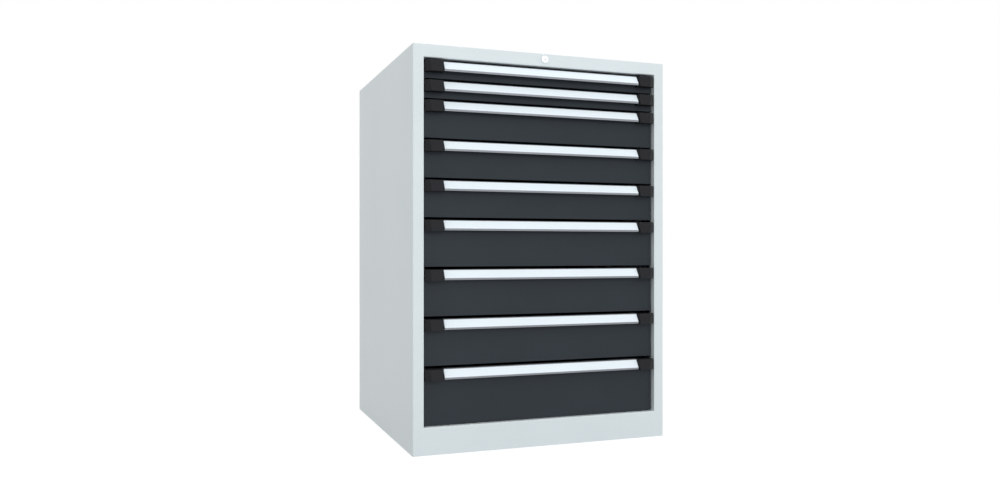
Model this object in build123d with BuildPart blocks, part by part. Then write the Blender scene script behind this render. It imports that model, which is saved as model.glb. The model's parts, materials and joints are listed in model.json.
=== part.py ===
from build123d import *

import math
import os

# Floor-standing drawer cabinet in folded sheet steel, in millimetres.
# The front faces -Y, +X is to the right of someone facing it, and the floor is at Z = 0.

# Housing
cabinet_width = 712
cabinet_depth = 690
plinth_height = 70
top_rail_height = 33
head_clearance = 1
stile_width = 28
stile_return = 20
housing_sheet = 1.5
bend_radius = 3
edge_chamfer = 1.1
edge_fold = 20
pan_side_rim = 40

# Drawer stack, from the top down, on one grid
drawer_heights = [50, 50, 100, 100, 100, 125, 125, 125, 150]
slot_pitch = 25

# Drawer fronts
front_recess = 13
front_depth = 18
front_sheet = 1.2
front_side_gap = 4.5
front_foot_gap = 2
front_rear_lip = 12

# Grip: an extruded profile over the top edge of each front, with a moulded cap at each end
grip_gap = 5.2
grip_projection = 11
grip_setback = 1.6
grip_face_height = 19
grip_lip_height = 5.6
grip_lip_lean = 1.3
grip_hook = 11
grip_wall = 1.6
grip_corner = 1.5
grip_leg = 18
strip_recess = 0.8
strip_width = 18.9
cap_length = 49.3
cap_side_gap = 3.4
cap_proud = 0.4
cap_rise = 0.2
cap_drop = 28.5
cap_lean = 3
cap_edge = 1.2
cap_draft = 4
cap_wall = 2
cap_facet_width = 14.5
cap_facet_depth = 11

# Trays
tray_rear_space = 52
tray_sheet = 2
tray_foot_gap = 4
tray_head_gap = 8
tray_rim = 7
tray_rim_sheet = 1.2

# Telescopic slides: a rail on the housing, a rail on the tray and an I-shaped runner inside both
slide_width = 26
rail_height = 32
rail_sheet = 1.5
rail_lift = 19
rail_front_gap = 2
runner_web = 3
runner_flange = 2
running_gap = 0.3

# Slotted posts that carry the housing rails
post_width = 40
post_front_gap = 6
post_end_gap = 5
post_sheet = 2
slot_height = 16
slot_width = 6
hook_height = 4
hook_reach = 2.6
hook_drop = 4.4
hook_sheet = 3
hook_gap = 0.4

# Floor-fixing plates in the corners of the base
plate_side = 80
plate_sheet = 3
fixing_hole_diameter = 11
fixing_inset = 50
access_hole_diameter = 26

# Central lock: cylinder in the top rail, rod to the rear, crank and bar with lugs behind the trays
lock_drop = 14.5
bezel_diameter = 19.5
bezel_projection = 3
bezel_chamfer = 0.8
barrel_diameter = 17
barrel_length = 24
barrel_clearance = 0.3
nut_across_flats = 22
nut_width = 6
plug_diameter = 12
plug_setback = 0.4
plug_tail = 4
keyway_width = 6.5
keyway_height = 1.8
keyway_depth = 6
rod_diameter = 8
rod_collar_diameter = 14
rod_collar_length = 12
hanger_width = 30
hanger_sheet = 2
hanger_offset = 35
crank_radius = 8.5
crank_sheet = 4
crank_gap = 3
crank_pin_diameter = 5
crank_pin_reach = 2
crank_angle = 45
bar_width = 16
bar_edge = 4
bar_sheet = 2
bar_gap = 6
bar_foot_gap = 12
bar_head = 3
lug_height = 12
lug_reach = 14
lug_sheet = 2
catch_width = 8
catch_side_gap = 4
catch_play = 2
catch_sheet = 2
catch_rise = 14
catch_foot = 12
catch_clearance = 2
guide_width = 40
guide_height = 20
guide_gap = 0.5
guide_nose = 5
guide_count = 3

# Heights and places that follow from the sizes above
stack_top = plinth_height + sum(drawer_heights)
cabinet_height = stack_top + head_clearance + top_rail_height
front_y = (grip_projection + cap_proud - cabinet_depth) / 2
back_y = front_y + cabinet_depth
half_width = cabinet_width / 2
half_opening = half_width - stile_width
inner_half = half_width - housing_sheet
inner_top = cabinet_height - housing_sheet
drawer_tops = [stack_top - sum(drawer_heights[:index]) for index in range(len(drawer_heights))]
drawer_feet = [top - height for top, height in zip(drawer_tops, drawer_heights)]

half_front = half_opening - front_side_gap
front_face_y = front_y + front_recess
front_rear_y = front_face_y + front_depth
half_tray = half_opening - slide_width
inner_back_y = back_y - 2 * housing_sheet
tray_rear_y = inner_back_y - tray_rear_space

rail_seat = half_opening
rail_reach = (slide_width - runner_web) / 2 - running_gap
tray_rail_edge = half_tray + rail_reach
housing_rail_edge = rail_seat - rail_reach
rail_front_y = front_rear_y + rail_front_gap
rail_length = tray_rear_y - rail_front_y
rail_heights = [foot + tray_foot_gap + rail_lift for foot in drawer_feet]

post_front_y = front_y + stile_return + post_front_gap
post_rear_y = tray_rear_y - post_end_gap - post_width

lock_height = cabinet_height - lock_drop
crank_y = tray_rear_y + crank_gap
bar_y = crank_y + crank_sheet + bar_gap
bar_left = -crank_radius - crank_pin_diameter / 2 - bar_edge
bar_right = bar_left + bar_width
crank_offset = crank_radius * math.cos(math.radians(crank_angle))
catch_left = bar_right + catch_side_gap
catch_rear_y = bar_y + catch_play + catch_sheet


def plan(z):
    return Plane.XY.offset(z)


def elevation(y):
    return Plane.XZ.offset(-y)


def section(x):
    return Plane.YZ.offset(x)


def patch(left, right, low, high, mode=Mode.ADD):
    with Locations(((left + right) / 2, (low + high) / 2)):
        Rectangle(right - left, high - low, mode=mode)


def write(part, name):
    part.label = name
    export_step(part, f"parts/{name}.step")


# Side panel: one sheet folded round the front stile and the rear edge
def make_side_panel():
    with BuildPart() as panel:
        with BuildSketch(plan(0)):
            with BuildLine():
                outer = FilletPolyline(
                    (half_opening, front_y + stile_return),
                    (half_opening, front_y),
                    (half_width, front_y),
                    (half_width, back_y),
                    (half_width - edge_fold, back_y),
                    radius=(0, bend_radius, bend_radius),
                )
                offset(outer, housing_sheet, kind=Kind.INTERSECTION, side=Side.LEFT)
            make_face()
        extrude(amount=inner_top)
        with BuildSketch(plan(0), plan(inner_top - housing_sheet)):
            patch(half_width - edge_fold, inner_half, front_y + bend_radius, back_y - bend_radius)
        extrude(amount=housing_sheet)
    return panel.part


# Top panel: the sheet, the front rail with its fold, the rear rim and the hanger of the lock rod
def make_top_panel():
    rear_half = half_width - edge_fold
    hanger_y = tray_rear_y - hanger_offset
    with BuildPart() as panel:
        with BuildSketch(plan(inner_top)) as sheet:
            patch(-half_width, half_width, front_y, back_y)
            fillet(sheet.vertices(), bend_radius)
        extrude(amount=housing_sheet)
        chamfer(panel.faces().sort_by(Axis.Z)[-1].edges(), edge_chamfer)
        with BuildSketch(section(0)):
            with BuildLine():
                rail = FilletPolyline(
                    (front_y + stile_return, stack_top + head_clearance),
                    (front_y, stack_top + head_clearance),
                    (front_y, inner_top),
                    radius=bend_radius,
                )
                offset(rail, housing_sheet, kind=Kind.INTERSECTION, side=Side.RIGHT)
            make_face()
        extrude(amount=half_opening, both=True)
        with BuildSketch(section(0)):
            patch(back_y - housing_sheet, back_y, inner_top - edge_fold, inner_top)
        extrude(amount=rear_half, both=True)
        with BuildSketch(section(0)):
            with BuildLine():
                hanger = Polyline(
                    (hanger_y - edge_fold, inner_top),
                    (hanger_y, inner_top),
                    (hanger_y, lock_height - rod_collar_diameter / 2),
                )
                offset(hanger, hanger_sheet, kind=Kind.INTERSECTION, side=Side.RIGHT)
            make_face()
        extrude(amount=hanger_width / 2, both=True)
        with BuildSketch(elevation(hanger_y)):
            with Locations((0, lock_height)):
                Circle(rod_diameter / 2 + running_gap)
        extrude(amount=hanger_sheet, mode=Mode.SUBTRACT)
        with BuildSketch(elevation(front_y + housing_sheet)):
            with Locations((0, lock_height)):
                Circle(barrel_diameter / 2 + barrel_clearance)
        extrude(amount=housing_sheet, mode=Mode.SUBTRACT)
    return panel.part


# Base pan: the plinth, the floor under the lowest drawer and the rims all round it
def make_base_pan():
    fixing_x = inner_half - fixing_inset
    strip_front_y = front_y + stile_return + housing_sheet
    with BuildPart() as pan:
        with BuildSketch(section(0)):
            with BuildLine():
                fold = FilletPolyline(
                    (front_y + stile_return, 0),
                    (front_y, 0),
                    (front_y, plinth_height),
                    (inner_back_y, plinth_height),
                    (inner_back_y, housing_sheet),
                    radius=(0, bend_radius, 0),
                )
                offset(fold, housing_sheet, kind=Kind.INTERSECTION, side=Side.RIGHT)
            make_face()
        extrude(amount=half_opening, both=True)
        with BuildSketch(elevation(strip_front_y)):
            with BuildLine():
                rims = Polyline(
                    (-inner_half, plinth_height - pan_side_rim),
                    (-inner_half, plinth_height),
                    (inner_half, plinth_height),
                    (inner_half, plinth_height - pan_side_rim),
                )
                offset(rims, housing_sheet, kind=Kind.INTERSECTION, side=Side.RIGHT)
            make_face()
        extrude(amount=strip_front_y - inner_back_y)
        with BuildSketch(plan(plinth_height - housing_sheet)):
            for x in (-fixing_x, fixing_x):
                with Locations(*[(x, y) for y in fixing_rows()]):
                    Circle(access_hole_diameter / 2)
        extrude(amount=housing_sheet, mode=Mode.SUBTRACT)
    return pan.part


def fixing_rows():
    front_row = front_y + stile_return + housing_sheet + plate_side / 2
    rear_row = inner_back_y - housing_sheet - plate_side / 2
    return front_row, rear_row


# Back panel with the welded guides of the lock bar
def make_back_panel():
    back_half = half_width - bend_radius
    guide_centre = (bar_left + bar_right) / 2
    guide_front_y = bar_y - guide_nose
    with BuildPart() as panel:
        with BuildSketch(elevation(inner_back_y)):
            patch(-back_half, back_half, housing_sheet, inner_top - housing_sheet)
        extrude(amount=-housing_sheet)
        for row in range(guide_count):
            drawer = (2 * row + 1) * len(drawer_tops) // (2 * guide_count)
            shelf = drawer_tops[drawer] - grip_gap
            with BuildSketch(section(guide_centre)):
                with BuildLine():
                    fold = Polyline(
                        (guide_front_y, shelf),
                        (inner_back_y, shelf),
                        (inner_back_y, shelf - guide_height),
                    )
                    offset(fold, housing_sheet, kind=Kind.INTERSECTION, side=Side.RIGHT)
                make_face()
            extrude(amount=guide_width / 2, both=True)
            with BuildSketch(plan(shelf)):
                patch(
                    bar_left - guide_gap,
                    bar_right + guide_gap,
                    bar_y - guide_gap,
                    bar_y + bar_sheet + guide_gap,
                )
            extrude(amount=-housing_sheet, mode=Mode.SUBTRACT)
    return panel.part


# Slotted post: a channel with its web towards the drawers and its edges on the side panel
def make_post(post_y):
    slot_count = round(sum(drawer_heights) / slot_pitch)
    slot_low = plinth_height + tray_foot_gap + rail_lift
    with BuildPart() as post:
        with BuildSketch(plan(plinth_height)):
            with BuildLine():
                channel = Polyline(
                    (inner_half, post_y),
                    (rail_seat, post_y),
                    (rail_seat, post_y + post_width),
                    (inner_half, post_y + post_width),
                )
                offset(channel, post_sheet, kind=Kind.INTERSECTION, side=Side.RIGHT)
            make_face()
        extrude(amount=inner_top - housing_sheet - plinth_height)
        with BuildSketch(section(rail_seat)):
            with Locations(
                *[(post_y + post_width / 2, slot_low + slot_pitch * row) for row in range(slot_count)]
            ):
                Rectangle(slot_width, slot_height)
        extrude(amount=post_sheet, mode=Mode.SUBTRACT)
    return post.part


# Housing rails: a channel per drawer and side, hooked into the slots of both posts
def make_cabinet_rails():
    slot_foot = -slot_height / 2
    with BuildPart() as rails:
        for height in rail_heights:
            with BuildSketch(elevation(rail_front_y)):
                with BuildLine():
                    channel = Polyline(
                        (housing_rail_edge, height - rail_height / 2),
                        (rail_seat, height - rail_height / 2),
                        (rail_seat, height + rail_height / 2),
                        (housing_rail_edge, height + rail_height / 2),
                    )
                    offset(channel, rail_sheet, kind=Kind.INTERSECTION, side=Side.LEFT)
                make_face()
            extrude(amount=-rail_length)
            for post_y in (post_front_y, post_rear_y):
                with BuildSketch(elevation(post_y + (post_width + hook_sheet) / 2)):
                    with BuildLine():
                        Polyline(
                            (rail_seat, height + hook_height),
                            (rail_seat + post_sheet + hook_gap + hook_reach, height + hook_height),
                            (
                                rail_seat + post_sheet + hook_gap + hook_reach,
                                height + slot_foot - hook_drop,
                            ),
                            (rail_seat + post_sheet + hook_gap, height + slot_foot - hook_drop),
                            (rail_seat + post_sheet + hook_gap, height + slot_foot + hook_gap),
                            (rail_seat, height + slot_foot + hook_gap),
                            close=True,
                        )
                    make_face()
                extrude(amount=hook_sheet)
        mirror(about=Plane.YZ)
    return rails.part


# Floor-fixing plates, welded on the bottom folds of the side panels
def make_corner_plates():
    fixing_x = inner_half - fixing_inset
    with BuildPart() as plates:
        with BuildSketch(plan(housing_sheet)):
            for row in fixing_rows():
                patch(inner_half - plate_side, inner_half, row - plate_side / 2, row + plate_side / 2)
                with Locations((fixing_x, row)):
                    Circle(fixing_hole_diameter / 2, mode=Mode.SUBTRACT)
        extrude(amount=plate_sheet)
        mirror(about=Plane.YZ)
    return plates.part


# Lock body: a barrel through the top rail with its bezel in front and a hexagon nut behind
def make_lock_body():
    bore = plug_diameter / 2 + running_gap
    nut_y = front_y + housing_sheet + nut_width
    with BuildPart() as body:
        with BuildSketch(section(0)):
            with BuildLine():
                Polyline(
                    (front_y - bezel_projection, lock_height + bore),
                    (front_y - bezel_projection, lock_height + bezel_diameter / 2 - bezel_chamfer),
                    (front_y - bezel_projection + bezel_chamfer, lock_height + bezel_diameter / 2),
                    (front_y, lock_height + bezel_diameter / 2),
                    (front_y, lock_height + barrel_diameter / 2),
                    (front_y + barrel_length, lock_height + barrel_diameter / 2),
                    (front_y + barrel_length, lock_height + bore),
                    close=True,
                )
            make_face()
        revolve(axis=Axis((0, front_y, lock_height), (0, 1, 0)))
        with BuildSketch(elevation(nut_y)):
            with Locations((0, lock_height)):
                RegularPolygon(nut_across_flats / 2, 6, major_radius=False)
                Circle(barrel_diameter / 2, mode=Mode.SUBTRACT)
        extrude(amount=nut_width)
    return body.part


# Lock cylinder: the turning plug with its keyway
def make_lock_cylinder():
    face_y = front_y - bezel_projection + plug_setback
    with BuildPart() as plug:
        with BuildSketch(elevation(front_y + barrel_length + plug_tail)):
            with Locations((0, lock_height)):
                Circle(plug_diameter / 2)
        extrude(amount=front_y + barrel_length + plug_tail - face_y)
        with BuildSketch(elevation(face_y + keyway_depth)):
            with Locations((0, lock_height)):
                SlotOverall(keyway_width, keyway_height)
        extrude(amount=keyway_depth, mode=Mode.SUBTRACT)
    return plug.part


# Lock rod: collar on the plug, round rod to the rear, crank arm and crank pin
def make_lock_rod():
    start_y = front_y + barrel_length + plug_tail
    pin_end_y = bar_y + bar_sheet + crank_pin_reach
    arm_middle = (-crank_offset / 2, lock_height - crank_offset / 2)
    with BuildPart() as rod:
        with BuildSketch(elevation(start_y)):
            with Locations((0, lock_height)):
                Circle(rod_collar_diameter / 2)
        extrude(amount=-rod_collar_length)
        with BuildSketch(elevation(start_y)):
            with Locations((0, lock_height)):
                Circle(rod_diameter / 2)
        extrude(amount=start_y - crank_y - crank_sheet)
        with BuildSketch(elevation(crank_y)):
            with Locations(Location(arm_middle, -crank_angle - 90)):
                SlotCenterToCenter(crank_radius, rod_diameter)
        extrude(amount=-crank_sheet)
        with BuildSketch(elevation(crank_y)):
            with Locations((-crank_offset, lock_height - crank_offset)):
                Circle(crank_pin_diameter / 2)
        extrude(amount=crank_y - pin_end_y)
    return rod.part


# Lock bar: a strip behind the trays with the slot of the crank pin and a welded lug for each drawer
def make_lock_bar():
    slot_half = crank_pin_diameter / 2 + guide_gap
    slot_z = lock_height - crank_offset
    with BuildPart() as bar:
        with BuildSketch(elevation(bar_y)):
            patch(bar_left, bar_right, plinth_height + bar_foot_gap, slot_z + slot_half + bar_head)
            patch(
                -crank_radius - slot_half,
                -crank_offset + slot_half,
                slot_z - slot_half,
                slot_z + slot_half,
                mode=Mode.SUBTRACT,
            )
        extrude(amount=-bar_sheet)
    with BuildPart() as lugs:
        with BuildSketch(elevation(bar_y)):
            for height in rail_heights:
                lug_top = height - catch_clearance
                patch(bar_left + bar_edge, bar_right + lug_reach, lug_top - lug_height, lug_top)
        extrude(amount=lug_sheet)
    return Compound(bar.solids() + lugs.solids())


# Catch of the lock: a bracket welded on the rear of a tray, whose hook hangs down behind the lug
def make_catch(rail_z):
    arm_z = rail_z + catch_rise
    with BuildPart() as catch:
        with BuildSketch(section(catch_left)):
            with BuildLine():
                bracket = Polyline(
                    (tray_rear_y, arm_z - catch_foot),
                    (tray_rear_y, arm_z),
                    (catch_rear_y, arm_z),
                    (catch_rear_y, rail_z),
                )
                offset(bracket, catch_sheet, kind=Kind.INTERSECTION, side=Side.RIGHT)
            make_face()
        extrude(amount=catch_width)
    return catch.part


# Tray: folded box with a rim, a welded rail on each side and the catch of the lock behind
def make_tray(foot, height, rail_z):
    low = foot + tray_foot_gap
    high = foot + height - tray_head_gap
    with BuildPart() as tray:
        with BuildSketch(plan(low)):
            patch(-half_tray, half_tray, front_rear_y, tray_rear_y)
        extrude(amount=high - low)
        offset(amount=-tray_sheet, openings=tray.faces().sort_by(Axis.Z)[-1])
        with BuildSketch(elevation(rail_front_y)):
            with BuildLine():
                channel = Polyline(
                    (tray_rail_edge, rail_z - rail_height / 2),
                    (half_tray, rail_z - rail_height / 2),
                    (half_tray, rail_z + rail_height / 2),
                    (tray_rail_edge, rail_z + rail_height / 2),
                )
                offset(channel, rail_sheet, kind=Kind.INTERSECTION, side=Side.RIGHT)
            make_face()
        extrude(amount=-rail_length)
        with BuildSketch(plan(high)):
            patch(half_tray, half_tray + tray_rim, rail_front_y, tray_rear_y)
        extrude(amount=-tray_rim_sheet)
        mirror(about=Plane.YZ)
    return Compound(tray.solids() + make_catch(rail_z).solids())


# Drawer front: a folded pan with lips that seat on the tray
def make_front(foot, height):
    low = foot + front_foot_gap
    high = foot + height - grip_gap - grip_wall
    with BuildPart() as front:
        with BuildSketch(elevation(front_rear_y)):
            patch(-half_front, half_front, low, high)
        extrude(amount=front_depth)
        offset(amount=-front_sheet, openings=front.faces().sort_by(Axis.Y)[-1])
        with BuildSketch(elevation(front_rear_y)):
            patch(-half_front, half_front, low, high)
            patch(
                -half_front + front_rear_lip,
                half_front - front_rear_lip,
                low + front_rear_lip,
                high - front_rear_lip,
                mode=Mode.SUBTRACT,
            )
        extrude(amount=front_sheet)
    return front.part


# Outline of the grip in depth and height: hook over the front, sloping face and lip
def grip_points(top):
    lip_z = top - grip_face_height
    return [
        (front_face_y + grip_hook, top),
        (front_y + grip_setback, top),
        (front_y - grip_projection, lip_z),
        (front_y - grip_projection + grip_lip_lean, lip_z - grip_lip_height),
    ]


def make_handle(foot, height):
    top = foot + height - grip_gap
    hook, upper, lower, lip = grip_points(top)
    slope = math.degrees(math.atan2(upper[1] - lower[1], upper[0] - lower[0]))
    middle = ((upper[0] + lower[0]) / 2, (upper[1] + lower[1]) / 2)
    half_grip = half_opening - cap_side_gap - cap_length
    with BuildPart() as handle:
        with BuildSketch(section(-half_grip)):
            with BuildLine():
                outer = FilletPolyline(hook, upper, lower, lip, radius=grip_corner)
                offset(outer, grip_wall, kind=Kind.INTERSECTION, side=Side.LEFT)
            make_face()
            with Locations(Location(middle, slope)):
                Rectangle(strip_width, 2 * strip_recess, mode=Mode.SUBTRACT)
            patch(front_face_y - grip_wall, front_face_y, top - grip_leg, top - grip_wall / 2)
        extrude(amount=2 * half_grip)
    return handle.part


# End caps of the grip: upright mouldings open at the rear, with a broken top edge in front,
# a side that slants away from the grip and a facet at the outer end
def make_end_caps(foot, height):
    top = foot + height - grip_gap
    head = top + cap_rise
    foot_z = top - cap_drop
    hook_y = front_face_y + grip_hook
    seat_y = front_y + grip_setback
    face_y = front_y - grip_projection - cap_proud
    outer_x = half_opening - cap_side_gap
    inner_x = outer_x - cap_length
    pocket_z = top - grip_wall - cap_wall
    pocket_length = cap_length - cap_draft - cap_facet_width - 2 * cap_wall
    facet = Plane(
        origin=(outer_x, front_y, top),
        x_dir=(0, 0, 1),
        z_dir=(cap_facet_depth, -cap_facet_width, 0),
    )
    draft = Plane(
        origin=(inner_x, seat_y, top),
        x_dir=(0, 0, 1),
        z_dir=(face_y - seat_y, -cap_draft, 0),
    )
    with BuildPart() as caps:
        with BuildSketch(section(inner_x)):
            with BuildLine():
                Polyline(
                    (hook_y, head),
                    (face_y + cap_lean + cap_edge, head),
                    (face_y + cap_lean, head - cap_edge),
                    (face_y, foot_z),
                    (front_face_y, foot_z),
                    (front_face_y, top - grip_wall),
                    (hook_y, top - grip_wall),
                    close=True,
                )
            make_face()
        extrude(amount=cap_length)
        split(bisect_by=facet, keep=Keep.BOTTOM)
        split(bisect_by=draft, keep=Keep.BOTTOM)
        with BuildSketch(section(inner_x + cap_draft + cap_wall)):
            with BuildLine():
                Polyline(
                    (front_face_y, pocket_z),
                    (face_y + cap_lean + cap_wall, pocket_z),
                    (face_y + cap_wall, foot_z + cap_wall),
                    (front_face_y, foot_z + cap_wall),
                    close=True,
                )
            make_face()
        extrude(amount=pocket_length, mode=Mode.SUBTRACT)
        mirror(about=Plane.YZ)
    return caps.part


# Runner pair: the I-shaped bars that run inside the rails of the housing and the tray
def make_runners(rail_z):
    flange_half = rail_height / 2 - rail_sheet - running_gap
    with BuildPart() as runners:
        with BuildSketch(elevation(rail_front_y)):
            patch(
                tray_rail_edge + running_gap,
                housing_rail_edge - running_gap,
                rail_z - flange_half,
                rail_z + flange_half,
            )
            for low in (rail_z - flange_half, rail_z + flange_half - runner_flange):
                patch(
                    half_tray + rail_sheet + running_gap,
                    rail_seat - rail_sheet - running_gap,
                    low,
                    low + runner_flange,
                )
        extrude(amount=-rail_length)
        mirror(about=Plane.YZ)
    return runners.part


os.makedirs("parts", exist_ok=True)

right_panel = make_side_panel()
write(right_panel, "right_side_panel")
write(mirror(right_panel, about=Plane.YZ), "left_side_panel")
write(make_top_panel(), "top_panel")
write(make_base_pan(), "base_pan")
write(make_back_panel(), "back_panel")
for place, post_y in (("front", post_front_y), ("rear", post_rear_y)):
    right_post = make_post(post_y)
    write(right_post, f"{place}_right_post")
    write(mirror(right_post, about=Plane.YZ), f"{place}_left_post")
write(make_cabinet_rails(), "cabinet_rails")
write(make_corner_plates(), "base_corner_plates")
write(make_lock_body(), "lock_body")
write(make_lock_cylinder(), "lock_cylinder")
write(make_lock_rod(), "lock_rod")
write(make_lock_bar(), "lock_bar")
for index, (foot, height, rail_z) in enumerate(zip(drawer_feet, drawer_heights, rail_heights)):
    drawer = f"drawer_{index + 1}"
    write(make_tray(foot, height, rail_z), f"{drawer}_tray")
    write(make_front(foot, height), f"{drawer}_front")
    write(make_handle(foot, height), f"{drawer}_handle")
    write(make_end_caps(foot, height), f"{drawer}_end_caps")
    write(make_runners(rail_z), f"mid_runner_{index + 1}")
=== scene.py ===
import json
import math
import bmesh
import bpy
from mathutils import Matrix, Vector


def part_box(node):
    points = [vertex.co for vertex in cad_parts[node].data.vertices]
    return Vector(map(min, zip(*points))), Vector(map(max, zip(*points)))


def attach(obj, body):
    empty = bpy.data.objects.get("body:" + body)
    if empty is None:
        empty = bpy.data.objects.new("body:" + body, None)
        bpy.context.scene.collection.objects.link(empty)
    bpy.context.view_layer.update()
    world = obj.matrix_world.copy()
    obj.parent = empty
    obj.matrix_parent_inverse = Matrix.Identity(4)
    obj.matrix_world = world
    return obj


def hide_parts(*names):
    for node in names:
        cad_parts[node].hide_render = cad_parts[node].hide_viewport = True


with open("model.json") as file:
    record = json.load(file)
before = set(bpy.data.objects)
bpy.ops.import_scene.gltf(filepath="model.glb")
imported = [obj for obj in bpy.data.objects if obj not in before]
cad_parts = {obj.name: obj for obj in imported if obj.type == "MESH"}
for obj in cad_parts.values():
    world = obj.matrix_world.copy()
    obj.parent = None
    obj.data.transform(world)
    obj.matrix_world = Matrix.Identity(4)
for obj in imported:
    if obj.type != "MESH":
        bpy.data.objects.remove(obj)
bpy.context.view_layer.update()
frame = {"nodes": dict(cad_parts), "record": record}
scene = bpy.context.scene
nodes = frame["nodes"]
drawerCount = sum(name.endswith("_handle") for name in nodes)
print("cabinet loaded:", len(nodes), "nodes,", drawerCount, "drawers")


# camera: level, at half the cabinet's height, turned 20 degrees to see the left side
cameraSettings = {
    "place": (-0.8901, -2.4165, 0.514),
    "tilt": 90,  # looks level
    "turn": -20.218,
    "lens": 30.937,
    "sensor": 36,
    "clipStart": 0.01,
}


def makeCamera(settings):
    data = bpy.data.cameras.new("photoCamera")
    data.lens = settings["lens"]
    data.sensor_width = settings["sensor"]
    data.clip_start = settings["clipStart"]
    camera = bpy.data.objects.new("photoCamera", data)
    camera.location = settings["place"]
    camera.rotation_euler = (math.radians(settings["tilt"]), 0, math.radians(settings["turn"]))
    scene.collection.objects.link(camera)
    scene.camera = camera


makeCamera(cameraSettings)
print("camera set")


# node helpers shared by all the finishes
def emptyMaterial(name):
    material = bpy.data.materials.new(name)
    material.use_nodes = True
    tree = material.node_tree
    tree.nodes.clear()
    output = tree.nodes.new("ShaderNodeOutputMaterial")
    return material, tree, output.inputs["Surface"]


def newMaterial(name):
    material, tree, surface = emptyMaterial(name)
    shader = tree.nodes.new("ShaderNodeBsdfPrincipled")
    tree.links.new(shader.outputs["BSDF"], surface)
    return material, tree, shader


def place(tree, kind, **settings):
    node = tree.nodes.new(kind)
    for key, value in settings.items():
        if hasattr(node, key):
            setattr(node, key, value)
        else:
            node.inputs[key.replace("_", " ").title()].default_value = value
    return node


def setSockets(shader, values):
    for key, value in values.items():
        shader.inputs[key].default_value = value


def objectPoint(tree, stretch=(1, 1, 1)):
    spot = tree.nodes.new("ShaderNodeTexCoord")
    mapping = tree.nodes.new("ShaderNodeMapping")
    mapping.inputs["Scale"].default_value = stretch
    tree.links.new(spot.outputs["Object"], mapping.inputs["Vector"])
    return mapping.outputs["Vector"]


def noise(tree, point, scale, detail=2, roughness=0.5):
    node = place(tree, "ShaderNodeTexNoise", scale=scale, detail=detail, roughness=roughness)
    tree.links.new(point, node.inputs["Vector"])
    return node.outputs["Fac"]


def spread(tree, value, low, high, fromLow=0.3, fromHigh=0.7):
    # 0.3 to 0.7 is where nearly all of a noise lies
    node = tree.nodes.new("ShaderNodeMapRange")
    node.inputs["From Min"].default_value = fromLow
    node.inputs["From Max"].default_value = fromHigh
    node.inputs["To Min"].default_value = low
    node.inputs["To Max"].default_value = high
    tree.links.new(value, node.inputs["Value"])
    return node.outputs["Result"]


# colour sockets of the Mix node, by number because their names repeat
mixSockets = {"share": 0, "first": 6, "second": 7, "result": 2}


def blendColours(tree, share, first, second):
    node = place(tree, "ShaderNodeMix", data_type="RGBA")
    for key, value in (("first", first), ("second", second)):
        socket = node.inputs[mixSockets[key]]
        if isinstance(value, tuple):
            socket.default_value = (*value, 1)
        else:
            tree.links.new(value, socket)
    tree.links.new(share, node.inputs[mixSockets["share"]])
    return node.outputs[mixSockets["result"]]


def shade(colour, factor):
    return tuple(min(1, channel * factor) for channel in colour)


def cloudColour(tree, cloud, colour, tones):
    darker, lighter = (shade(colour, tone) for tone in tones)
    return blendColours(tree, spread(tree, cloud, 0, 1), darker, lighter)


def bump(tree, shader, height, strength, depth):
    node = place(tree, "ShaderNodeBump", strength=strength, distance=depth)
    tree.links.new(height, node.inputs["Height"])
    tree.links.new(node.outputs["Normal"], shader.inputs["Normal"])


def colourShader(tree, shader, colour, grain, rough):
    tree.links.new(colour, shader.inputs["Base Color"])
    tree.links.new(spread(tree, grain, *rough), shader.inputs["Roughness"])


# an edge is where the rounded normal leaves the flat one: their dot product is 1 on a face
edgeSearch = {
    "samples": 4,
    "dotRange": (0.8, 1),
}


def wearEdges(tree, face, settings):
    rounded = place(
        tree, "ShaderNodeBevel", samples=edgeSearch["samples"], radius=settings["edgeRadius"]
    )
    flat = tree.nodes.new("ShaderNodeNewGeometry")
    dot = place(tree, "ShaderNodeVectorMath", operation="DOT_PRODUCT")
    tree.links.new(rounded.outputs["Normal"], dot.inputs[0])
    tree.links.new(flat.outputs["Normal"], dot.inputs[1])
    share = spread(tree, dot.outputs["Value"], settings["edgeShare"], 0, *edgeSearch["dotRange"])
    return blendColours(tree, share, face, settings["edgeColour"])


# powder coat: a smooth film with fine orange peel, thinner and lighter along its edges
powderFilm = {
    "cloudDetail": 3,
    "grainRange": (0.5, 0.8),
    "peelDetail": 1,
    "peelDepth": 0.0002,
}
housingPaint = {
    **powderFilm,
    "colour": (0.70, 0.764, 0.795),
    "cloudScale": 5,
    "cloudTones": (0.988, 1.012),
    "grainScale": 900,
    "grainShare": 0.12,
    "grainTone": 0.9,
    "edgeRadius": 0.0015,
    "edgeShare": 0.35,
    "edgeColour": (0.82, 0.86, 0.885),
    "rough": (0.42, 0.52),
    "peelScale": 520,
    "peelStrength": 0.12,
    "shine": 0.4,
}
drawerPaint = {
    **powderFilm,
    "colour": (0.0245, 0.0312, 0.0388),
    "cloudScale": 6,
    "cloudTones": (0.95, 1.05),
    "grainScale": 1100,
    "grainShare": 0.35,
    "grainTone": 1.35,
    "edgeRadius": 0.0012,
    "edgeShare": 0.3,
    "edgeColour": (0.10, 0.115, 0.13),
    "rough": (0.46, 0.58),
    "peelScale": 620,
    "peelStrength": 0.16,
    "shine": 0.16,
}


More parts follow.
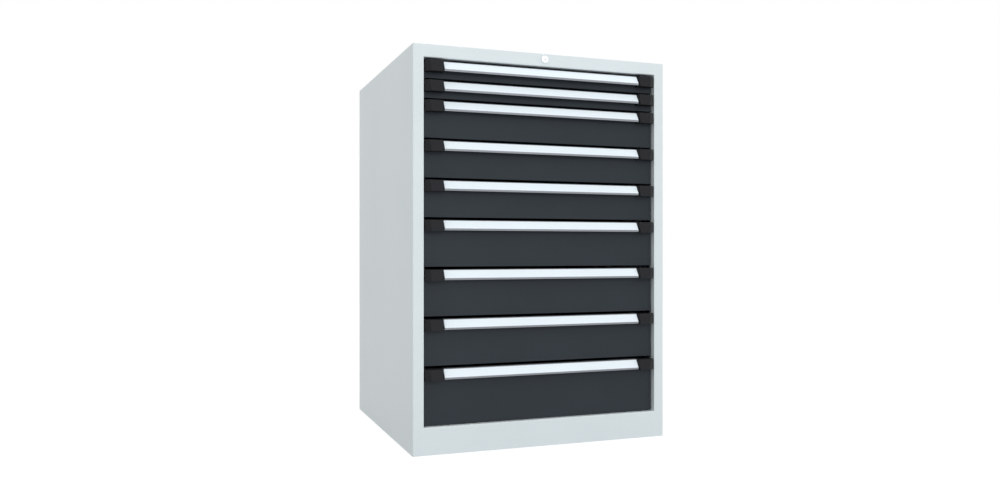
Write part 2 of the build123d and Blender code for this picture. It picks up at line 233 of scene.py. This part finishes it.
def makePowderCoat(name, settings):
    material, tree, shader = newMaterial(name)
    point = objectPoint(tree)
    cloud = noise(tree, point, settings["cloudScale"], settings["cloudDetail"])
    grain = noise(tree, point, settings["grainScale"])
    peel = noise(tree, point, settings["peelScale"], settings["peelDetail"])
    film = cloudColour(tree, cloud, settings["colour"], settings["cloudTones"])
    speckShare = spread(tree, grain, 0, settings["grainShare"], *settings["grainRange"])
    speckColour = shade(settings["colour"], settings["grainTone"])
    speckled = blendColours(tree, speckShare, film, speckColour)
    colourShader(tree, shader, wearEdges(tree, speckled, settings), grain, settings["rough"])
    bump(tree, shader, peel, settings["peelStrength"], settings["peelDepth"])
    setSockets(shader, {"Specular IOR Level": settings["shine"]})
    return material


# metals: base colour, grain direction and a soft cloud of handling marks
metalGrain = {
    "lineDetail": 4,
    "lineRoughness": 0.6,
    "lineTone": 0.8,
    "lineDepth": 0.00005,
    "markDetail": 3,
}
gripAluminium = {
    **metalGrain,
    "colour": (0.285, 0.3, 0.325),
    "grainStretch": (6, 2600, 2600),
    "markScale": 9,
    "markTones": (0.96, 1.04),
    "lineShare": 0.25,
    "edgeRadius": 0.0005,
    "edgeShare": 0.3,
    "edgeColour": (0.38, 0.395, 0.43),
    "rough": (0.5, 0.6),
    "lineStrength": 0.25,
}
zincSteel = {
    **metalGrain,
    "colour": (0.52, 0.54, 0.57),
    "grainStretch": (900, 12, 900),
    "markScale": 60,
    "markTones": (0.9, 1.1),
    "lineShare": 0.35,
    "edgeRadius": 0.0008,
    "edgeShare": 0.4,
    "edgeColour": (0.72, 0.74, 0.77),
    "rough": (0.3, 0.46),
    "lineStrength": 0.3,
}
lockChrome = {
    **metalGrain,
    "colour": (0.76, 0.82, 0.86),
    "grainStretch": (700, 700, 700),
    "markScale": 160,
    "markTones": (0.96, 1.04),
    "lineShare": 0.08,
    "edgeRadius": 0.0003,
    "edgeShare": 0.4,
    "edgeColour": (0.95, 0.96, 0.97),
    "rough": (0.24, 0.34),
    "lineStrength": 0.05,
}


def makeMetal(name, settings):
    material, tree, shader = newMaterial(name)
    lines = noise(
        tree,
        objectPoint(tree, settings["grainStretch"]),
        scale=1,  # the stretch sets the scale
        detail=settings["lineDetail"],
        roughness=settings["lineRoughness"],
    )
    marks = noise(tree, objectPoint(tree), settings["markScale"], settings["markDetail"])
    marked = cloudColour(tree, marks, settings["colour"], settings["markTones"])
    lineColour = shade(settings["colour"], settings["lineTone"])
    lined = blendColours(tree, spread(tree, lines, 0, settings["lineShare"]), marked, lineColour)
    colourShader(tree, shader, wearEdges(tree, lined, settings), lines, settings["rough"])
    bump(tree, shader, lines, settings["lineStrength"], settings["lineDepth"])
    setSockets(shader, {"Metallic": 1.0})
    return material


# plug of the lock: the same chrome, with painted shade inside the keyway, darker with depth behind
# the face and mottled by noise
keywayShade = {
    "from": 0.0002,  # depths behind the plug's face
    "to": 0.0008,
    "colour": (0.02, 0.02, 0.022),
    "tones": (0.7, 1.4),
    "shadeMottleScale": 1800,
}


def makePlugChrome(name, settings, keyway):
    material = makeMetal(name, settings)
    tree = material.node_tree
    shader = next(node for node in tree.nodes if node.type == "BSDF_PRINCIPLED")
    chrome = shader.inputs["Base Color"].links[0].from_socket
    axes = tree.nodes.new("ShaderNodeSeparateXYZ")
    tree.links.new(objectPoint(tree), axes.inputs[0])
    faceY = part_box("lock_cylinder")[0][1]
    depth = spread(tree, axes.outputs["Y"], 0, 1, faceY + keyway["from"], faceY + keyway["to"])
    shadeMottle = noise(tree, objectPoint(tree), keyway["shadeMottleScale"])
    darker, lighter = (shade(keyway["colour"], tone) for tone in keyway["tones"])
    shadedKeyway = blendColours(tree, shadeMottle, darker, lighter)
    # painted shade: the chrome blends into the near-black colour with depth inside the keyway
    tree.links.new(blendColours(tree, depth, chrome, shadedKeyway), shader.inputs["Base Color"])
    return material


# end caps: moulded plastic with a spark-eroded texture and polished edges
capPlastic = {
    "colour": (0.0108, 0.0111, 0.0137),
    "cloudScale": 25,
    "cloudTones": (0.93, 1.07),
    "grainScale": 1500,
    "grainShare": 0.3,
    "grainTone": 1.5,
    "edgeRadius": 0.0008,
    "edgeShare": 0.4,
    "edgeColour": (0.026, 0.027, 0.031),
    "rough": (0.5, 0.62),
    "textureStrength": 0.3,
    "textureDepth": 0.0001,
    "shine": 0.18,
}


def makePlastic(name, settings):
    material, tree, shader = newMaterial(name)
    point = objectPoint(tree)
    grain = noise(tree, point, settings["grainScale"])
    cloud = noise(tree, point, settings["cloudScale"])
    base = cloudColour(tree, cloud, settings["colour"], settings["cloudTones"])
    grainColour = shade(settings["colour"], settings["grainTone"])
    grained = blendColours(tree, spread(tree, grain, 0, settings["grainShare"]), base, grainColour)
    colourShader(tree, shader, wearEdges(tree, grained, settings), grain, settings["rough"])
    bump(tree, shader, grain, settings["textureStrength"], settings["textureDepth"])
    setSockets(shader, {"Specular IOR Level": settings["shine"]})
    return material


# label strip: white card behind a clear cover
stripCard = {
    "colour": (0.825, 0.905, 0.965),
    "cloudScale": 7,
    "cloudTones": (0.985, 1.01),
    "fibreStretch": (300, 900, 900),
    "fibreDetail": 3,
    "fibreShare": 0.15,
    "fibreTone": 0.96,
    "fibreStrength": 0.05,
    "fibreDepth": 0.00005,
    "rough": (0.4, 0.5),
    "coat": 0.15,
    "coatRough": 0.12,
    "shine": 0.3,
}


def makeStripCard(name, settings):
    material, tree, shader = newMaterial(name)
    stretched = objectPoint(tree, settings["fibreStretch"])
    fibre = noise(tree, stretched, scale=1, detail=settings["fibreDetail"])
    cloud = noise(tree, objectPoint(tree), settings["cloudScale"])
    card = cloudColour(tree, cloud, settings["colour"], settings["cloudTones"])
    fibreColour = shade(settings["colour"], settings["fibreTone"])
    fibred = blendColours(tree, spread(tree, fibre, 0, settings["fibreShare"]), card, fibreColour)
    colourShader(tree, shader, fibred, fibre, settings["rough"])
    bump(tree, shader, fibre, settings["fibreStrength"], settings["fibreDepth"])
    setSockets(
        shader,
        {
            "Coat Weight": settings["coat"],
            "Coat Roughness": settings["coatRough"],
            "Specular IOR Level": settings["shine"],
        },
    )
    return material


finishes = {
    "housing_paint": makePowderCoat("housingPaint", housingPaint),
    "drawer_paint": makePowderCoat("drawerPaint", drawerPaint),
    "grip_aluminium": makeMetal("gripAluminium", gripAluminium),
    "zinc_steel": makeMetal("zincSteel", zincSteel),
    "lock_chrome": makeMetal("lockChrome", lockChrome),
    "cap_plastic": makePlastic("capPlastic", capPlastic),
}
cardFinish = makeStripCard("stripCard", stripCard)
plugFinish = makePlugChrome("plugChrome", lockChrome, keywayShade)
print("finishes made:", ", ".join([*finishes, "strip card", "plug chrome"]))


# every CAD node takes its finish from the record's slots, with softened edges
edgeRounding = {
    "housing_paint": 0.0005,
    "drawer_paint": 0.0004,
    "grip_aluminium": 0.0003,
    "zinc_steel": 0.0003,
    "lock_chrome": 0.00025,
    "cap_plastic": 0.0006,
}
roundingShape = {
    "segments": 2,
    "angle": 35,  # flatter edges stay as they are
}


def roundEdges(piece, width, harden=False):
    rounding = piece.modifiers.new("edgeRounding", "BEVEL")
    rounding.width = width
    rounding.segments = roundingShape["segments"]
    rounding.limit_method = "ANGLE"
    rounding.angle_limit = math.radians(roundingShape["angle"])
    rounding.harden_normals = harden


def dressNode(node, slotName, finish):
    if node.data.materials:
        for index in range(len(node.data.materials)):
            node.data.materials[index] = finish
    else:
        node.data.materials.append(finish)
    roundEdges(node, edgeRounding[slotName], harden=True)


for part in frame["record"]["subparts"]:
    finish = plugFinish if part["node"] == "lock_cylinder" else finishes[part["material_slot"]]
    dressNode(nodes[part["node"]], part["material_slot"], finish)
print("nodes dressed")


# pieces built here: points are (depth, height) from the housing's front and the grip's top
def addMesh(name, shape, finish, body, edge):
    bmesh.ops.recalc_face_normals(shape, faces=shape.faces)
    mesh = bpy.data.meshes.new(name)
    shape.to_mesh(mesh)
    shape.free()
    mesh.materials.append(finish)
    piece = bpy.data.objects.new(name, mesh)
    scene.collection.objects.link(piece)
    roundEdges(piece, edge)
    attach(piece, body)
    return piece


# grip: drawn aluminium profile with a hook over the front, a sloping face and a lip to pull
gripSizes = {
    "hook": (0.024, 0),
    "upper": (0.0055, 0),
    "lower": (-0.008, -0.0219),
    "lip": (-0.0063, -0.0264),
    "wall": 0.0016,
    "corner": 0.0011,
    "cornerSteps": 4,
    "groove": (0.0017, 0.0251),  # from and to, down the sloping face
    "grooveDepth": 0.0008,
    "leg": (0.0114, 0.013),  # front and back of the leg behind the drawer's front
    "legFoot": -0.018,
    "edge": 0.00015,
}
# label strip: lies in the groove of the grip's face
stripSizes = {
    "length": 0.5498,
    "along": (0.0018, 0.025),
    "thickness": 0.0007,
    "setback": 0.00005,
    "edge": 0.0002,
}


def inwardOf(direction):
    return Vector((-direction.y, direction.x))


def roundCorner(before, corner, after, radius, steps):
    back = (before - corner).normalized()
    ahead = (after - corner).normalized()
    half = back.angle(ahead) / 2
    centre = corner + (back + ahead).normalized() * radius / math.sin(half)
    first = corner + back * radius / math.tan(half) - centre
    last = corner + ahead * radius / math.tan(half) - centre
    turns = [first.lerp(last, step / steps).normalized() for step in range(steps + 1)]
    return [centre + turn * radius for turn in turns]


def innerCorner(corner, first, second, wall):
    return corner + (first + second) * wall / (1 + first.dot(second))


def gripOutline(sizes):
    hook, upper, lower, lip = (Vector(sizes[key]) for key in ("hook", "upper", "lower", "lip"))
    slope = (lower - upper).normalized()
    slopeInward = inwardOf(slope)
    topInward = Vector((0, -1))
    lipInward = inwardOf((lip - lower).normalized())
    grooveHead, grooveFoot = (upper + slope * along for along in sizes["groove"])
    sunk = slopeInward * sizes["grooveDepth"]
    wall = sizes["wall"]
    legFront, legBack = sizes["leg"]
    return [
        hook,
        *roundCorner(hook, upper, lower, sizes["corner"], sizes["cornerSteps"]),
        grooveHead,
        grooveHead + sunk,
        grooveFoot + sunk,
        grooveFoot,
        *roundCorner(upper, lower, lip, sizes["corner"], sizes["cornerSteps"]),
        lip,
        lip + lipInward * wall,
        innerCorner(lower, slopeInward, lipInward, wall),
        innerCorner(upper, topInward, slopeInward, wall),
        Vector((legFront, -wall)),
        Vector((legFront, sizes["legFoot"])),
        Vector((legBack, sizes["legFoot"])),
        Vector((legBack, -wall)),
        Vector((hook.x, -wall)),
    ]


def stripOutline(sizes, grip):
    upper, lower = Vector(grip["upper"]), Vector(grip["lower"])
    slope = (lower - upper).normalized()
    inward = inwardOf(slope)
    head, foot = (upper + slope * along + inward * sizes["setback"] for along in sizes["along"])
    deep = inward * sizes["thickness"]
    return [head, foot, foot + deep, head + deep]


def drawAlong(outline, ends, origin):
    shape = bmesh.new()
    near, far = ([shape.verts.new((x, *(origin + point))) for point in outline] for x in ends)
    shape.faces.new(near)
    shape.faces.new(far)
    for index in range(len(outline)):
        shape.faces.new([near[index - 1], near[index], far[index], far[index - 1]])
    return shape


def makeGrip(drawer, grip, strip):
    low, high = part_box(f"{drawer}_handle")
    origin = Vector((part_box("top_panel")[0][1], high[2]))
    half = strip["length"] / 2
    profile = addMesh(
        f"{drawer}_grip_profile",
        drawAlong(gripOutline(grip), (low[0], high[0]), origin),
        finishes["grip_aluminium"],
        drawer,
        grip["edge"],
    )
    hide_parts(f"{drawer}_handle")
    addMesh(
        f"{drawer}_label_strip",
        drawAlong(stripOutline(strip, grip), (-half, half), origin),
        cardFinish,
        drawer,
        strip["edge"],
    )


for number in range(1, drawerCount + 1):
    makeGrip(f"drawer_{number}", gripSizes, stripSizes)
print("grips and label strips made")


# studio: pale floor that keeps the shadow, white surroundings, soft lamps
studio = {
    "floorSize": 12,
    "floorTone": 0.4,  # what the floor throws back on the cabinet
    "shadowTone": 0.3,  # what the shadow takes from the floor as the camera sees it
    "floorGlow": 0.78,
    "skyColour": (1.0, 1.0, 0.98),
    "skyStrength": 0.94,
    "seenColour": (1.0, 1.0, 1.0),
    "seenStrength": 1,
}
lamps = {
    "frontSoftbox": {
        "place": (0.3, -5.5, 2.2),
        "aim": (0, 0, 0.3),
        "size": (3.0, 1.5),
        "power": 50,
        "colour": (0.95, 0.98, 1.0),
    },
    "footSoftbox": {
        "place": (0, -3.0, 0.12),
        "aim": (0, -0.34, 0.0),
        "size": (2.4, 0.15),
        "power": 10,
        "colour": (0.95, 0.98, 1.0),
    },
    "topSoftbox": {
        "place": (0.0, -0.9, 3.2),
        "aim": (0, -0.2, 0.6),
        "size": (2.6, 2.0),
        "power": 2,
        "colour": (0.98, 0.99, 1.0),
    },
}


def seenDirectly(tree):
    path = tree.nodes.new("ShaderNodeLightPath")
    share = path.outputs["Is Camera Ray"]
    for ray in ("Is Glossy Ray", "Is Transmission Ray"):
        either = place(tree, "ShaderNodeMath", operation="MAXIMUM")
        tree.links.new(share, either.inputs[0])
        tree.links.new(path.outputs[ray], either.inputs[1])
        share = either.outputs[0]
    return share


def chooseByRay(tree, unseen, seen, surface):
    choice = tree.nodes.new("ShaderNodeMixShader")
    tree.links.new(seenDirectly(tree), choice.inputs[0])
    tree.links.new(unseen.outputs[0], choice.inputs[1])
    tree.links.new(seen.outputs[0], choice.inputs[2])
    tree.links.new(choice.outputs[0], surface)


def makeWorld(settings):
    world = bpy.data.worlds.new("studioWorld")
    scene.world = world
    world.use_nodes = True
    tree = world.node_tree
    tree.nodes.clear()
    output = tree.nodes.new("ShaderNodeOutputWorld")
    sky = tree.nodes.new("ShaderNodeBackground")
    seen = tree.nodes.new("ShaderNodeBackground")
    for light, key in ((sky, "sky"), (seen, "seen")):
        colour, strength = settings[f"{key}Colour"], settings[f"{key}Strength"]
        setSockets(light, {"Color": (*colour, 1), "Strength": strength})
    chooseByRay(tree, sky, seen, output.inputs["Surface"])


def makeFloor(settings):
    half = settings["floorSize"] / 2
    corners = [(-half, -half, 0), (half, -half, 0), (half, half, 0), (-half, half, 0)]
    mesh = bpy.data.meshes.new("studioFloor")
    mesh.from_pydata(corners, [], [(0, 1, 2, 3)])
    floor = bpy.data.objects.new("studioFloor", mesh)
    scene.collection.objects.link(floor)
    material, tree, surface = emptyMaterial("studioFloor")
    bounce = tree.nodes.new("ShaderNodeBsdfDiffuse")
    shadowed = tree.nodes.new("ShaderNodeBsdfDiffuse")
    for matt, tone in ((bounce, settings["floorTone"]), (shadowed, settings["shadowTone"])):
        setSockets(matt, {"Color": (tone, tone, tone, 1)})
    glow = place(tree, "ShaderNodeEmission", strength=settings["floorGlow"])
    seen = tree.nodes.new("ShaderNodeAddShader")
    tree.links.new(shadowed.outputs[0], seen.inputs[0])
    tree.links.new(glow.outputs[0], seen.inputs[1])
    chooseByRay(tree, bounce, seen, surface)
    mesh.materials.append(material)


def makeLamp(name, settings):
    data = bpy.data.lights.new(name, "AREA")
    data.shape = "RECTANGLE"
    data.size, data.size_y = settings["size"]
    data.energy = settings["power"]
    data.color = settings["colour"]
    lamp = bpy.data.objects.new(name, data)
    lamp.location = settings["place"]
    aim = Vector(settings["aim"]) - Vector(settings["place"])
    lamp.rotation_euler = aim.to_track_quat("-Z", "Y").to_euler()
    scene.collection.objects.link(lamp)


makeWorld(studio)
makeFloor(studio)
for name, settings in lamps.items():
    makeLamp(name, settings)
scene.view_settings.view_transform = "Standard"
print("studio lit")
